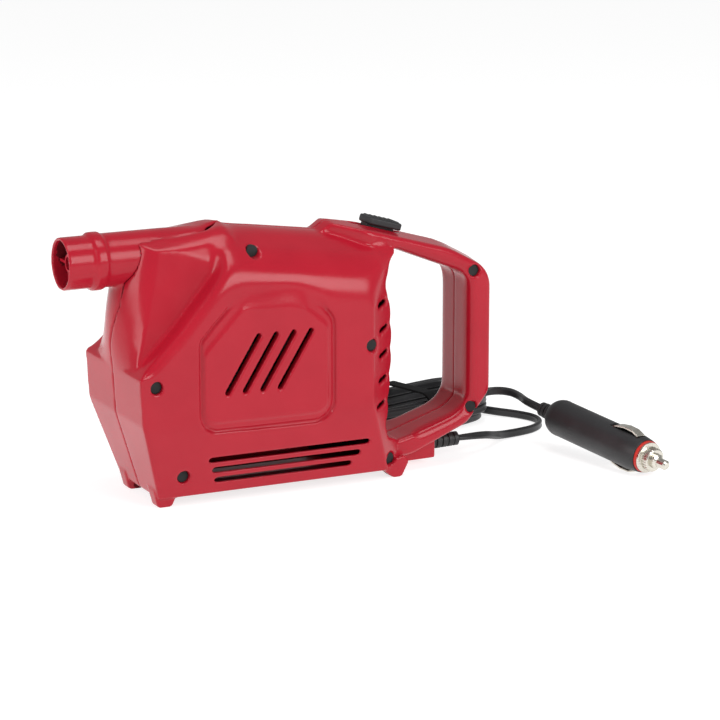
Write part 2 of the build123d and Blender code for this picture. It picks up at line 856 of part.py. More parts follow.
rib_count = 6
with BuildPart() as switch_knob:
    add(bar_box(knob_s_low, knob_s_high, knob_low_n, knob_high_n - 0.6, knob_half))
    fillet(switch_knob.edges(), 1.1)
    with BuildSketch(bar_side):
        for index in range(rib_count):
            with Locations((knob_s_low + 2.6 + index * 2.96, knob_high_n - 1.1)):
                Circle(1.1)
    extrude(amount=knob_half - 1.2, both=True)
    add(bar_box(-8, 8.5, strip_high_n, 1.5, 3.8))
switch_knob.part.label = "switch_knob"
switch_knob.part.move(to_middle)
export_step(switch_knob.part, "parts/switch_knob.step")

with BuildPart() as switch_slide_strip:
    add(bar_box(-15.5, 16, strip_low_n, strip_high_n, 5.5))
switch_slide_strip.part.label = "switch_slide_strip"
switch_slide_strip.part.move(to_middle)
export_step(switch_slide_strip.part, "parts/switch_slide_strip.step")

with BuildPart() as switch_actuator:
    add(bar_box(nub_low_s, nub_high_s, -7.4, strip_low_n, 1.5))
switch_actuator.part.label = "switch_actuator"
switch_actuator.part.move(to_middle)
export_step(switch_actuator.part, "parts/switch_actuator.step")

with BuildPart() as switch_body:
    add(bar_box(switch_s_low, switch_s_high, switch_n_low, switch_n_high, 5))
    add(bar_box(nub_low_s - slide_travel - 1, nub_high_s + 1, -8.0, 0, 1.8), mode=Mode.SUBTRACT)
switch_body.part.label = "switch_body"
switch_body.part.move(to_middle)
export_step(switch_body.part, "parts/switch_body.step")

pin_n = -8.4
pin_y = 3.0
with BuildPart() as switch_terminals:
    for side in (-1, 1):
        add(bar_box(switch_s_low - 3, switch_s_low, pin_n - 0.3, pin_n + 0.3, 1.0, y=side * pin_y))
switch_terminals.part.label = "switch_terminals"
switch_terminals.part.move(to_middle)
export_step(switch_terminals.part, "parts/switch_terminals.step")


# ---------------------------------------------------------------- wires and the cord
def rounded_path(points):
    """Straight runs joined by arcs that take 0.45 of the shorter run at each corner."""
    start = Vector(*points[0])
    for before, corner, after in zip(points, points[1:], points[2:]):
        back = Vector(*before) - Vector(*corner)
        ahead = Vector(*after) - Vector(*corner)
        reach = 0.45 * min(back.length, ahead.length)
        enter = Vector(*corner) + back.normalized() * reach
        leave = Vector(*corner) + ahead.normalized() * reach
        half_angle = math.radians(back.get_angle(ahead)) / 2
        radius = reach * math.tan(half_angle)
        centre_way = (back.normalized() + ahead.normalized()).normalized()
        middle = Vector(*corner) + centre_way * (radius / math.sin(half_angle) - radius)
        Line(start, enter)
        ThreePointArc(enter, middle, leave)
        start = leave
    Line(start, Vector(*points[-1]))


def tightest_bend(points):
    """The smallest bend radius along a route."""
    radii = []
    for before, corner, after in zip(points, points[1:], points[2:]):
        back = Vector(*before) - Vector(*corner)
        ahead = Vector(*after) - Vector(*corner)
        reach = 0.45 * min(back.length, ahead.length)
        radii.append(reach * math.tan(math.radians(back.get_angle(ahead)) / 2))
    return min(radii)


def tube_along(points, radius):
    """A round tube along a rounded path."""
    with BuildPart() as tube:
        with BuildLine() as route:
            rounded_path(points)
        with BuildSketch(Plane(origin=route.line @ 0, z_dir=route.line % 0)):
            Circle(radius)
        sweep(path=route.line)
    return tube.part


def on_bar(s, y, n):
    """A point given along the handle's top bar, across it and above it."""
    point = bar_side.from_local_coords((s, n, -y))
    return (point.X, point.Y, point.Z)


wire_r = 0.9
wire_routes = {
    "wire_switch_to_motor": [
        on_bar(switch_s_low - 2.4, pin_y, pin_n - 1.1),
        (22.5, 6.0, 126.0),
        (14.0, 16.0, 116.0),
        (1.0, 24.0, 108.0),
        (-12.0, 30.0, 98.0),
        (fan_x, 32.4, fan_z + terminal_z + 1.2),
    ],
    "wire_cord_to_switch": [
        (69.0, 1.2, 10.7),
        (61.0, 2.4, 13.4),
        (53.5, 4.0, 17.0),
        (42.0, 8.0, 23.0),
        (30.0, 13.0, 38.0),
        (24.0, 14.0, 58.0),
        (20.0, 14.0, 77.0),
        (22.0, 10.0, 96.0),
        (24.0, 4.0, 113.0),
        (23.5, -2.0, 126.0),
        on_bar(switch_s_low - 2.4, -pin_y, pin_n - 1.1),
    ],
    "wire_cord_to_motor": [
        (69.0, -1.2, 10.7),
        (61.0, -2.4, 13.4),
        (53.5, -1.0, 17.0),
        (42.0, 6.0, 20.0),
        (26.0, 14.0, 21.0),
        (8.0, 22.0, 24.0),
        (-10.0, 28.0, 33.0),
        (-23.0, 31.5, 48.0),
        (fan_x, 32.4, fan_z - terminal_z - 1.2),
    ],
}
with BuildPart() as wire_switch_to_motor:
    add(tube_along(wire_routes["wire_switch_to_motor"], wire_r))
wire_switch_to_motor.part.label = "wire_switch_to_motor"
wire_switch_to_motor.part.move(to_middle)
export_step(wire_switch_to_motor.part, "parts/wire_switch_to_motor.step")

with BuildPart() as wire_cord_to_switch:
    add(tube_along(wire_routes["wire_cord_to_switch"], wire_r))
wire_cord_to_switch.part.label = "wire_cord_to_switch"
wire_cord_to_switch.part.move(to_middle)
export_step(wire_cord_to_switch.part, "parts/wire_cord_to_switch.step")

with BuildPart() as wire_cord_to_motor:
    add(tube_along(wire_routes["wire_cord_to_motor"], wire_r))
wire_cord_to_motor.part.label = "wire_cord_to_motor"
wire_cord_to_motor.part.move(to_middle)
export_step(wire_cord_to_motor.part, "parts/wire_cord_to_motor.step")

relief_rings = 5
with BuildPart() as strain_relief:
    add(pipe_form(70, gland_end_x, gland_bore_r - 0.03, z=cord_exit[2]))
    add(pipe_form(gland_end_x, cord_exit[0], 3.4, z=cord_exit[2]))
    for index in range(relief_rings):
        ring_x = gland_end_x + 1.0 + index * 3.7
        add(pipe_form(ring_x, ring_x + 2.4, 4.4 - 0.12 * index, z=cord_exit[2]))
strain_relief.part.label = "strain_relief"
strain_relief.part.move(to_middle)
export_step(strain_relief.part, "parts/strain_relief.step")

# ---------------------------------------------------------------- plug, lying on the floor
plug_rear = Vector(164.55, -7.2, 19.5)
plug_tip = Vector(185.0, -97.6, 9.0)
plug_way = (plug_tip - plug_rear).normalized()
plug_side = plug_way.cross(Vector(0, 0, 1)).normalized()
plug_plane = Plane(origin=plug_rear, x_dir=plug_way, z_dir=plug_side)
plug_axis = Axis(plug_rear, plug_way)
plug_body_r = 10.4
body_end_s = 76.0
boot_start_s = -9.0
fuse_r = 3.2
pin_r = 4.1
pin_tip_r = 2.7
pin_rear_s = 80.0
nose_end_s = 84.0
contact_low_s = 50.0
contact_high_s = 71.0
contact_half = 2.75


def turned(profile):
    """A turned solid about the plug's axis, from (distance along, radius) corners."""
    with BuildPart() as solid:
        with BuildSketch(plug_plane):
            with BuildLine():
                Polyline(*profile, close=True)
            make_face()
        revolve(axis=plug_axis)
    return solid.part


def plug_rod(s_low, s_high, radius):
    """A round bar along the plug's axis."""
    return turned([(s_low, 0), (s_low, radius), (s_high, radius), (s_high, 0)])


def plug_strip(corners, half):
    """A side outline of the plug given a width."""
    with BuildPart() as strip:
        with BuildSketch(plug_plane):
            with BuildLine():
                Polyline(*corners, close=True)
            make_face()
        extrude(amount=half, both=True)
    return strip.part


with BuildPart() as plug_boot:
    add(plug_rod(boot_start_s, 0, 3.5))
    for index in range(3):
        add(plug_rod(boot_start_s + index * 2.9, boot_start_s + 1.9 + index * 2.9, 4.1 + 0.2 * index))
plug_boot.part.label = "plug_boot"
plug_boot.part.move(to_middle)
export_step(plug_boot.part, "parts/plug_boot.step")

slot_floor_r = 7.1
with BuildPart() as plug_body:
    with BuildSketch(plug_plane):
        with BuildLine():
            Line((0, 0), (0, 5.4))
            ThreePointArc((0, 5.4), (2.6, 8.6), (9.5, plug_body_r))
            Line((9.5, plug_body_r), (62, plug_body_r))
            ThreePointArc((62, plug_body_r), (70, 10.2), (body_end_s, 9.4))
            Line((body_end_s, 9.4), (body_end_s, 0))
            Line((body_end_s, 0), (0, 0))
        make_face()
    revolve(axis=plug_axis)
    for side in (-1, 1):
        slot = [
            (contact_low_s - 1, side * slot_floor_r),
            (contact_high_s + 1, side * slot_floor_r),
            (contact_high_s + 1, side * 14),
            (contact_low_s - 1, side * 14),
        ]
        add(plug_strip(slot, contact_half + 0.3), mode=Mode.SUBTRACT)
    add(plug_rod(38, body_end_s + 1, fuse_r + 0.2), mode=Mode.SUBTRACT)
    add(plug_rod(body_end_s - 4, body_end_s + 1, pin_r + 0.05), mode=Mode.SUBTRACT)
    with BuildSketch(plug_plane.offset(plug_body_r - 1)):
        with Locations((26, 0)):
            Circle(2.3)
    extrude(amount=0.9)
plug_body.part.label = "plug_body"
plug_body.part.move(to_middle)
export_step(plug_body.part, "parts/plug_body.step")


def side_contact(side):
    """A bent contact strip standing proud of the plug's body."""
    outer = [(50.0, 9.4), (53.5, 11.1), (60.0, 12.3), (66.5, 12.1), (71.0, 10.4)]
    inner = [(s, height - 0.8) for s, height in reversed(outer)]
    return plug_strip([(s, side * height) for s, height in outer + inner], contact_half)


with BuildPart() as plug_contact_upper:
    add(side_contact(1))
plug_contact_upper.part.label = "plug_contact_upper"
plug_contact_upper.part.move(to_middle)
export_step(plug_contact_upper.part, "parts/plug_contact_upper.step")

with BuildPart() as plug_contact_lower:
    add(side_contact(-1))
plug_contact_lower.part.label = "plug_contact_lower"
plug_contact_lower.part.move(to_middle)
export_step(plug_contact_lower.part, "parts/plug_contact_lower.step")

with BuildPart() as plug_insulator:
    add(plug_rod(body_end_s, body_end_s + 1.8, 8.9))
    add(plug_rod(body_end_s - 1, body_end_s + 3, pin_r + 0.05), mode=Mode.SUBTRACT)
plug_insulator.part.label = "plug_insulator"
plug_insulator.part.move(to_middle)
export_step(plug_insulator.part, "parts/plug_insulator.step")

notch_count = 24
with BuildPart() as plug_nose_ring:
    nose_line = [
        (77.8, 0),
        (77.8, 8.6),
        (79.0, 8.6),
        (79.4, 6.6),
        (nose_end_s - 0.6, 6.6),
        (nose_end_s, 6.0),
        (nose_end_s, 0),
    ]
    add(turned(nose_line))
    with BuildSketch(Plane(origin=plug_rear + plug_way * 79.6, x_dir=plug_side, z_dir=plug_way)):
        with PolarLocations(6.8, notch_count):
            Rectangle(0.9, 0.8)
    extrude(amount=6, mode=Mode.SUBTRACT)
    add(plug_rod(77, 86, pin_r + 0.05), mode=Mode.SUBTRACT)
plug_nose_ring.part.label = "plug_nose_ring"
plug_nose_ring.part.move(to_middle)
export_step(plug_nose_ring.part, "parts/plug_nose_ring.step")

with BuildPart() as plug_centre_pin:
    pin_line = [
        (pin_rear_s, 0),
        (pin_rear_s, pin_r),
        (86.0, pin_r),
        (87.0, pin_tip_r),
        (92.3, pin_tip_r),
        (93.3, 1.7),
        (93.3, 0),
    ]
    add(turned(pin_line))
plug_centre_pin.part.label = "plug_centre_pin"
plug_centre_pin.part.move(to_middle)
export_step(plug_centre_pin.part, "parts/plug_centre_pin.step")

with BuildPart() as plug_fuse:
    add(plug_rod(50, pin_rear_s, fuse_r))
plug_fuse.part.label = "plug_fuse"
plug_fuse.part.move(to_middle)
export_step(plug_fuse.part, "parts/plug_fuse.step")

coil_rings = 5
with BuildPart() as plug_pin_spring:
    add(turned([(38, 1.8), (38, 3.0), (46.8, 3.0), (46.8, 1.8)]))
    for index in range(coil_rings - 1):
        groove = 38.9 + index * 2.1
        add(turned([(groove, 2.4), (groove, 3.2), (groove + 1, 3.2), (groove + 1, 2.4)]), mode=Mode.SUBTRACT)
plug_pin_spring.part.label = "plug_pin_spring"
plug_pin_spring.part.move(to_middle)
export_step(plug_pin_spring.part, "parts/plug_pin_spring.step")

# ---------------------------------------------------------------- the folded cord and its two leads
hank_centre = (109.5, 65.3)
hank_angle = 16.0
hank_length = 108.0
hank_width = 44.0
hank_low = 1.2
hank_high = 24.0
hank_corner = 20.0
hank_edge_r = 7.0
tie_t = 1.2
tie_w = 7.0


def hank_form(margin):
    """The folded cord as one rounded block, grown by a margin."""
    with BuildPart() as form:
        with BuildSketch(Plane.XY.offset(hank_low - margin)):
            with Locations(Location(hank_centre, hank_angle)):
                RectangleRounded(hank_length + 2 * margin, hank_width + 2 * margin, hank_corner + margin)
        extrude(amount=hank_high - hank_low + 2 * margin)
        fillet(form.faces().filter_by(Axis.Z).edges(), hank_edge_r + margin)
    return form.part


with BuildPart() as cord_hank:
    add(hank_form(0))
cord_hank.part.label = "cord_hank"
cord_hank.part.move(to_middle)
export_step(cord_hank.part, "parts/cord_hank.step")

with BuildPart() as cord_tie:
    add(hank_form(tie_t))
    with BuildSketch():
        with Locations(Location(hank_centre, hank_angle)):
            Rectangle(tie_w, 80)
    extrude(amount=60, mode=Mode.INTERSECT)
    add(hank_form(0), mode=Mode.SUBTRACT)
cord_tie.part.label = "cord_tie"
cord_tie.part.move(to_middle)
export_step(cord_tie.part, "parts/cord_tie.step")

cord_out_route = [
    cord_exit,
    (118.0, 0.0, 10.5),
    (128.5, 4.6, 8.8),
    (138.0, 12.6, 5.4),
    (147.0, 20.5, 2.8),
    (159.0, 22.8, 2.5),
    (171.0, 26.0, 2.5),
    (180.5, 34.5, 2.5),
    (183.5, 47.0, 2.5),
    (177.5, 59.5, 2.6),
    (168.0, 69.0, 3.0),
    (157.0, 76.5, 4.2),
]
boot_end = plug_rear + plug_way * boot_start_s
lead_in = boot_end - plug_way * 13
cord_to_plug_route = [
    (154.0, 86.0, 18.5),
    (164.5, 76.5, 20.2),
    (167.6, 61.0, 20.5),
    (166.6, 45.5, 20.3),
    (164.0, 31.0, 21.0),
    (lead_in.X, lead_in.Y, lead_in.Z),
    (boot_end.X, boot_end.Y, boot_end.Z),
]

with BuildPart() as cord_out:
    add(tube_along(cord_out_route, cord_r))
    add(hank_form(0), mode=Mode.SUBTRACT)
cord_out.part.label = "cord_out"
cord_out.part.move(to_middle)
export_step(cord_out.part, "parts/cord_out.step")

with BuildPart() as cord_to_plug:
    add(tube_along(cord_to_plug_route, cord_r))
    add(hank_form(0), mode=Mode.SUBTRACT)
cord_to_plug.part.label = "cord_to_plug"
cord_to_plug.part.move(to_middle)
export_step(cord_to_plug.part, "parts/cord_to_plug.step")

print("tightest bend, cord from the casing:", round(tightest_bend(cord_out_route), 1), "mm")
print("tightest bend, cord to the plug:", round(tightest_bend(cord_to_plug_route), 1), "mm")
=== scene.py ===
import json
import math
import random

import bpy
import numpy as np
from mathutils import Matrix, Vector
from mathutils.bvhtree import BVHTree


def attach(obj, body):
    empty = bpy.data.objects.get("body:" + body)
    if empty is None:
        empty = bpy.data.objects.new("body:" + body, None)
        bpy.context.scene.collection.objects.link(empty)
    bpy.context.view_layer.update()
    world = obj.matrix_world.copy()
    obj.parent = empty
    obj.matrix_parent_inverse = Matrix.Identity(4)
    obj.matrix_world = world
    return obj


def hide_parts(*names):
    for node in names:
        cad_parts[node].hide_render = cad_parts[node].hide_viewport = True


# Hand-held 12 V air pump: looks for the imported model. Metres, +Z up.
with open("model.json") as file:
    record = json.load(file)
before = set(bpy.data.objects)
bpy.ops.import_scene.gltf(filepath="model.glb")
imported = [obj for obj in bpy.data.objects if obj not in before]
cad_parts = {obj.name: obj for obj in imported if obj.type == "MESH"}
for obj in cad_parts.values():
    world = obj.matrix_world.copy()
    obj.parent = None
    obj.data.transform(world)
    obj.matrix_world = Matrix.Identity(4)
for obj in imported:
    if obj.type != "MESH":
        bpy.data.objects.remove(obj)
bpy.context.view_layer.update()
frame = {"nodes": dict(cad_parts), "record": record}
nodes = frame["nodes"]
random.seed(7)

MM = 0.001
SHIFT = 3.1  # the part's own numbers are given before this move along X, in mm


def at(x, y, z):
    """A point of the part in its own millimetres, as a point in the row frame."""
    return Vector(((x + SHIFT) * MM, y * MM, z * MM))


# ------------------------------------------------------------------ materials
class Nodes:
    """Short calls for building a node material."""

    def __init__(self, name):
        self.mat = bpy.data.materials.new(name)
        self.mat.use_nodes = True
        self.tree = self.mat.node_tree
        self.bsdf = self.tree.nodes["Principled BSDF"]

    def new(self, kind, **values):
        node = self.tree.nodes.new(kind)
        for key, value in values.items():
            setattr(node, key, value)
        return node

    def link(self, source, target):
        self.tree.links.new(source, target)

    def coords(self):
        return self.new("ShaderNodeTexCoord").outputs["Object"]

    def noise(self, scale, detail=3.0, roughness=0.5, stretch=None):
        node = self.new("ShaderNodeTexNoise")
        node.inputs["Scale"].default_value = scale
        node.inputs["Detail"].default_value = detail
        node.inputs["Roughness"].default_value = roughness
        source = self.coords()
        if stretch:
            mapping = self.new("ShaderNodeMapping")
            mapping.inputs["Scale"].default_value = stretch
            self.link(source, mapping.inputs["Vector"])
            source = mapping.outputs["Vector"]
        self.link(source, node.inputs["Vector"])
        return node.outputs["Fac"]

    def spread(self, fac, low, high, from_low=0.3, from_high=0.7):
        node = self.new("ShaderNodeMapRange")
        node.inputs["From Min"].default_value = from_low
        node.inputs["From Max"].default_value = from_high
        node.inputs["To Min"].default_value = low
        node.inputs["To Max"].default_value = high
        self.link(fac, node.inputs["Value"])
        return node.outputs["Result"]

    def mix(self, fac, a, b):
        node = self.new("ShaderNodeMix", data_type="RGBA")
        self.link(fac, node.inputs["Factor"])
        node.inputs["A"].default_value = (*a, 1)
        node.inputs["B"].default_value = (*b, 1)
        return node.outputs["Result"]

    def bump(self, height, strength, distance, edge=0.0):
        node = self.new("ShaderNodeBump")
        node.inputs["Strength"].default_value = strength
        node.inputs["Distance"].default_value = distance
        self.link(height, node.inputs["Height"])
        if edge:
            bevel = self.new("ShaderNodeBevel", samples=6)
            bevel.inputs["Radius"].default_value = edge
            self.link(bevel.outputs["Normal"], node.inputs["Normal"])
        self.link(node.outputs["Normal"], self.bsdf.inputs["Normal"])


def plastic(name, dark, light, rough, grain=900.0, strength=0.04, edge=0.0004, specular=0.5, metal=0.0, ior=1.45):
    """Moulded plastic or metal: slight colour and gloss variation, a fine grain and soft edges."""
    n = Nodes(name)
    cloud = n.noise(38.0, detail=4.0)
    n.link(n.mix(n.spread(cloud, 0.0, 1.0), dark, light), n.bsdf.inputs["Base Color"])
    n.link(n.spread(n.noise(90.0, detail=5.0), rough[0], rough[1]), n.bsdf.inputs["Roughness"])
    n.bsdf.inputs["Metallic"].default_value = metal
    n.bsdf.inputs["Specular IOR Level"].default_value = specular
    n.bsdf.inputs["IOR"].default_value = ior
    n.bump(n.noise(grain, detail=2.0), strength, 0.0003, edge)
    return n.mat


def brushed(name, dark, light, rough, stretch, edge=0.0003):
    """Metal with fine drawn lines."""
    n = Nodes(name)
    lines = n.noise(500.0, detail=3.0, stretch=stretch)
    n.link(n.mix(n.spread(lines, 0.0, 1.0), dark, light), n.bsdf.inputs["Base Color"])
    n.link(n.spread(lines, rough[0], rough[1]), n.bsdf.inputs["Roughness"])
    n.bsdf.inputs["Metallic"].default_value = 1.0
    n.bump(lines, 0.08, 0.0002, edge)
    return n.mat


RED = plastic(
    "red_casing",
    (0.375, 0.008, 0.021),
    (0.41, 0.010, 0.024),
    (0.17, 0.23),
    grain=1400.0,
    strength=0.02,
    edge=0.0,
    ior=1.36,
)
# Painted shade: a much darker, duller red for the casing's enclosed inner faces, standing in for the shade inside the
# casing.
RED_PAINTED_SHADE = plastic(
    "red_painted_shade_inside",
    (0.10, 0.004, 0.008),
    (0.13, 0.006, 0.010),
    (0.7, 0.8),
    edge=0.0,
    specular=0.1,
)
BLACK_KNOB = plastic(
    "black_knob",
    (0.012, 0.012, 0.013),
    (0.022, 0.022, 0.024),
    (0.38, 0.5),
    grain=2600.0,
    strength=0.25,
    edge=0.0004,
)
BLACK_PLUG = plastic(
    "black_plug",
    (0.013, 0.013, 0.014),
    (0.024, 0.024, 0.026),
    (0.36, 0.48),
    grain=2400.0,
    strength=0.3,
    edge=0.0008,
)
# Near-black, dull plastic for the inner black parts and the tie; also put on the white fan as painted shade inside the
# casing.
INNER_BLACK_AND_SHADE = plastic(
    "black_inner",
    (0.004, 0.004, 0.0045),
    (0.008, 0.008, 0.009),
    (0.6, 0.72),
    edge=0.0004,
    specular=0.15,
)
BLACK_RUBBER = plastic(
    "black_rubber",
    (0.012, 0.012, 0.012),
    (0.02, 0.02, 0.021),
    (0.42, 0.55),
    grain=1800.0,
    strength=0.15,
    edge=0.0005,
)
BLACK_CORD = plastic(
    "black_cord",
    (0.012, 0.012, 0.013),
    (0.022, 0.022, 0.024),
    (0.3, 0.42),
    grain=1500.0,
    strength=0.08,
    edge=0.0,
)
BLACK_SCREW = plastic(
    "black_screw",
    (0.015, 0.015, 0.015),
    (0.03, 0.03, 0.03),
    (0.35, 0.5),
    edge=0.0003,
    metal=0.6,
)
FERRITE = plastic("ferrite", (0.02, 0.02, 0.021), (0.05, 0.05, 0.052), (0.6, 0.8), grain=1500.0, strength=0.3)
RED_INSULATOR = plastic("red_insulator", (0.5, 0.02, 0.015), (0.6, 0.035, 0.02), (0.35, 0.45), edge=0.0002)
RED_WIRE = plastic("red_wire", (0.4, 0.012, 0.012), (0.48, 0.02, 0.02), (0.35, 0.45), edge=0.0)
STEEL = brushed("steel", (0.42, 0.42, 0.43), (0.6, 0.6, 0.61), (0.25, 0.4), (1, 12, 1))
NICKEL = brushed("nickel", (0.58, 0.55, 0.48), (0.76, 0.73, 0.66), (0.14, 0.3), (1, 1, 10))
COPPER = brushed("copper", (0.55, 0.2, 0.07), (0.75, 0.32, 0.13), (0.25, 0.4), (1, 20, 1))
BRONZE = brushed("bronze", (0.36, 0.24, 0.1), (0.5, 0.34, 0.17), (0.4, 0.55), (1, 1, 1))
BRASS = brushed("brass", (0.6, 0.43, 0.17), (0.78, 0.6, 0.28), (0.22, 0.35), (1, 8, 1))

finishes = {
    "red_casing": RED,
    "black_screw": BLACK_SCREW,
    "black_inner": INNER_BLACK_AND_SHADE,
    # Painted shade: the white fan inside the casing is given the near-black inner material.
    "white_fan": INNER_BLACK_AND_SHADE,
    "steel": STEEL,
    "ferrite": FERRITE,
    "copper": COPPER,
    "bronze": BRONZE,
    "brass": BRASS,
    "black_knob": BLACK_KNOB,
    "red_wire": RED_WIRE,
    "black_wire": BLACK_CORD,
    "black_rubber": BLACK_RUBBER,
    "black_cord": BLACK_CORD,
    "tie": INNER_BLACK_AND_SHADE,
    "black_plug": BLACK_PLUG,
    "nickel": NICKEL,
    "red_insulator": RED_INSULATOR,
    "fuse": NICKEL,
}
slot_of = {entry["node"]: entry["material_slot"] for entry in frame["record"]["subparts"]}
for name, obj in nodes.items():
    obj.data.materials.clear()
    obj.data.materials.append(finishes[slot_of[name]])


# ------------------------------------------------------------------ pieces
def add_object(name, data, material, slot, body, *replaced):
    obj = bpy.data.objects.new(name, data)
    bpy.context.collection.objects.link(obj)
    obj.data.materials.clear()
    obj.data.materials.append(material)
    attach(obj, body)
    if replaced:
        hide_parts(*replaced)
    return obj


# ------------------------------------------------------------------ casing
VOXEL = 0.0008
ROUNDING = 7
SOFTENING = 90
INSIDE_REACH = 0.2
INSIDE_LIFT = 0.0002
INSIDE_END = 66.0  # faces further back belong to the handle


def moulded(node_name, piece_name, material, slot, body, voxel, rounding):
    """A copy of a node with its sharp edges rounded as moulding leaves them."""
    source = nodes[node_name]
    data = source.data.copy()
    data.name = piece_name
    obj = add_object(piece_name, data, material, slot, body, node_name)
    remesh = obj.modifiers.new("skin", "REMESH")
    remesh.mode = "VOXEL"
    remesh.voxel_size = voxel
    remesh.use_smooth_shade = True
    smooth = obj.modifiers.new("rounding", "SMOOTH")
    smooth.factor = 0.5
    smooth.iterations = rounding
    graph = bpy.context.evaluated_depsgraph_get()
    result = bpy.data.meshes.new_from_object(obj.evaluated_get(graph))
    obj.modifiers.clear()
    obj.data = result
    result.name = piece_name
    result.materials.clear()
    result.materials.append(material)
    for polygon in result.polygons:
        polygon.use_smooth = True
    return obj


def paint_shade_inside(obj, others, material):
    """Gives the casing's inner faces, closed in on every side but below, a second, darker and duller material: painted
    shade.
    """
    meshes = [piece.data for piece in [obj] + others]
    trees = [BVHTree.FromPolygons([v.co for v in m.vertices], [p.vertices for p in m.polygons]) for m in meshes]
    ways = [Vector(way) for way in ((1, 0.1, 0.2), (-1, 0.1, 0.2), (0.1, 1, 0.2), (0.1, -1, 0.2), (0.1, 0.1, 1))]
    obj.data.materials.append(material)
    inside = [0] * len(obj.data.polygons)
    limit = at(INSIDE_END, 0.0, 0.0)[0]
    for index, polygon in enumerate(obj.data.polygons):
        if polygon.center.x > limit:
            continue
        start = polygon.center + polygon.normal * INSIDE_LIFT
        hit = all(any(tree.ray_cast(start, way, INSIDE_REACH)[0] for tree in trees) for way in ways)
        inside[index] = 1 if hit else 0
    obj.data.polygons.foreach_set("material_index", inside)


def closeness(points, start, end, full, none):
    """1 within full of the segment from start to end, falling to 0 at none."""
    way = end - start
    share = np.clip((points - start) @ way / (way @ way), 0.0, 1.0)
    gap = np.linalg.norm(points - (start + share[:, None] * way), axis=1)
    return np.clip((none - gap) / (none - full), 0.0, 1.0)


def soften(obj, lines, rounds):
    """Rounds the skin further along some of its edges, by repeated averaging there."""
    mesh = obj.data
    count = len(mesh.vertices)
    points = np.empty(count * 3)
    mesh.vertices.foreach_get("co", points)
    points = points.reshape(count, 3)
    ends = np.empty(len(mesh.edges) * 2, dtype=np.int64)
    mesh.edges.foreach_get("vertices", ends)
    first, second = ends[0::2], ends[1::2]
    links = np.bincount(first, minlength=count) + np.bincount(second, minlength=count)
    weight = np.zeros(count)
    for corners, full, none in lines:
        for start, end in zip(corners, corners[1:]):
            for side in (-1, 1):
                flip = np.array([1.0, side, 1.0])
                a = np.array(at(*start)) * flip
                b = np.array(at(*end)) * flip
                weight = np.maximum(weight, closeness(points, a, b, full * MM, none * MM))
    chosen = weight > 0
    touched = chosen[first] | chosen[second]
    first, second = first[touched], second[touched]
    for _ in range(rounds):
        total = np.zeros((count, 3))
        for axis in range(3):
            total[:, axis] += np.bincount(first, points[second, axis], minlength=count)
            total[:, axis] += np.bincount(second, points[first, axis], minlength=count)
        mean = total[chosen] / links[chosen][:, None]
        points[chosen] += (mean - points[chosen]) * (0.6 * weight[chosen])[:, None]
    mesh.vertices.foreach_set("co", points.ravel())
    mesh.update()


left_skin = moulded("left_casing", "left_casing_skin", RED, "red_casing", "pump", VOXEL, ROUNDING)
right_skin = moulded("right_casing", "right_casing_skin", RED, "red_casing", "pump", VOXEL, ROUNDING)

# (corners of a line on the +Y side, in the part's millimetres, full reach, reach) of each softer edge
soft_lines = [
    (
        [(-90.0, 39.4, 81.5), (-72.0, 39.4, 99.5), (-56.0, 39.0, 118.0), (-47.0, 33.0, 128.0), (-44.0, 20.0, 141.0)],
        3.0,
        9.0,
    ),
    ([(-50.0, 38.0, 119.0), (46.0, 36.0, 111.0)], 5.0, 12.0),
    ([(47.0, 34.0, 108.0), (52.0, 33.0, 118.0), (50.0, 24.0, 128.0)], 3.0, 8.0),
    ([(104.8, 17.0, 100.0), (104.8, 17.0, 40.0)], 3.0, 7.0),
    ([(64.0, 17.5, 123.5), (86.0, 17.5, 114.6), (102.0, 17.0, 108.0)], 2.5, 6.0),
    ([(100.0, 17.0, 31.5), (76.0, 17.5, 23.0)], 2.5, 6.0),
    ([(-62.0, 11.0, 144.5), (-38.0, 12.0, 147.5), (-26.0, 12.0, 144.0)], 4.0, 11.0),
]
for skin in (left_skin, right_skin):
    soften(skin, soft_lines, SOFTENING)
# The enclosed inner faces of each casing half get the painted-shade red.
paint_shade_inside(left_skin, [right_skin], RED_PAINTED_SHADE)
paint_shade_inside(right_skin, [left_skin], RED_PAINTED_SHADE)


# ------------------------------------------------------------------ cord
CORD_W = 4.8
CORD_T = 2.7

cord_out = [
    (107.0, 0.0, 10.5),
    (118.0, 0.0, 10.5),
    (128.5, 4.6, 8.8),
    (138.0, 12.6, 5.4),
    (147.0, 20.5, 2.8),
    (159.0, 22.8, 2.5),
    (171.0, 26.0, 2.5),
    (180.5, 34.5, 2.5),
    (183.5, 47.0, 2.5),
    (177.5, 59.5, 2.6),
    (169.5, 67.5, 3.0),
    (163.5, 75.5, 3.3),
]
plug_rear = Vector((164.55, -7.2, 19.5))
plug_tip = Vector((185.0, -97.6, 9.0))
plug_way = (plug_tip - plug_rear).normalized()
BOOT_LENGTH = 9
LEAD_IN_LENGTH = 13
boot_end = plug_rear - plug_way * BOOT_LENGTH
lead_in = boot_end - plug_way * LEAD_IN_LENGTH
cord_lead = [
    (155.4, 54.0, 19.9),
    (161.4, 50.6, 20.5),
    (164.9, 44.4, 20.7),
    (165.2, 37.5, 20.8),
    (164.2, 29.5, 20.9),
    tuple(lead_in),
    tuple(boot_end),
]

hank_x, hank_y = 110.1, 65.5
hank_turn = math.radians(16.0)
hank_straight = 34.0
HALF_STEPS = 6
# height of each layer of turns, from the floor up
layers = [3.4, 8.3, 13.2, 18.1]
# (layer, fold radius) of each turn, from the floor up
turns = [
    (0, 19.8),
    (0, 16.8),
    (0, 13.8),
    (1, 16.8),
    (1, 19.8),
    (2, 19.8),
    (2, 16.8),
    (3, 16.8),
    (3, 19.8),
]


def hank_point(along, across, z):
    """A point given along and across the hank."""
    x = hank_x + along * math.cos(hank_turn) - across * math.sin(hank_turn)
    y = hank_y + along * math.sin(hank_turn) + across * math.cos(hank_turn)
    return (x, y, z)


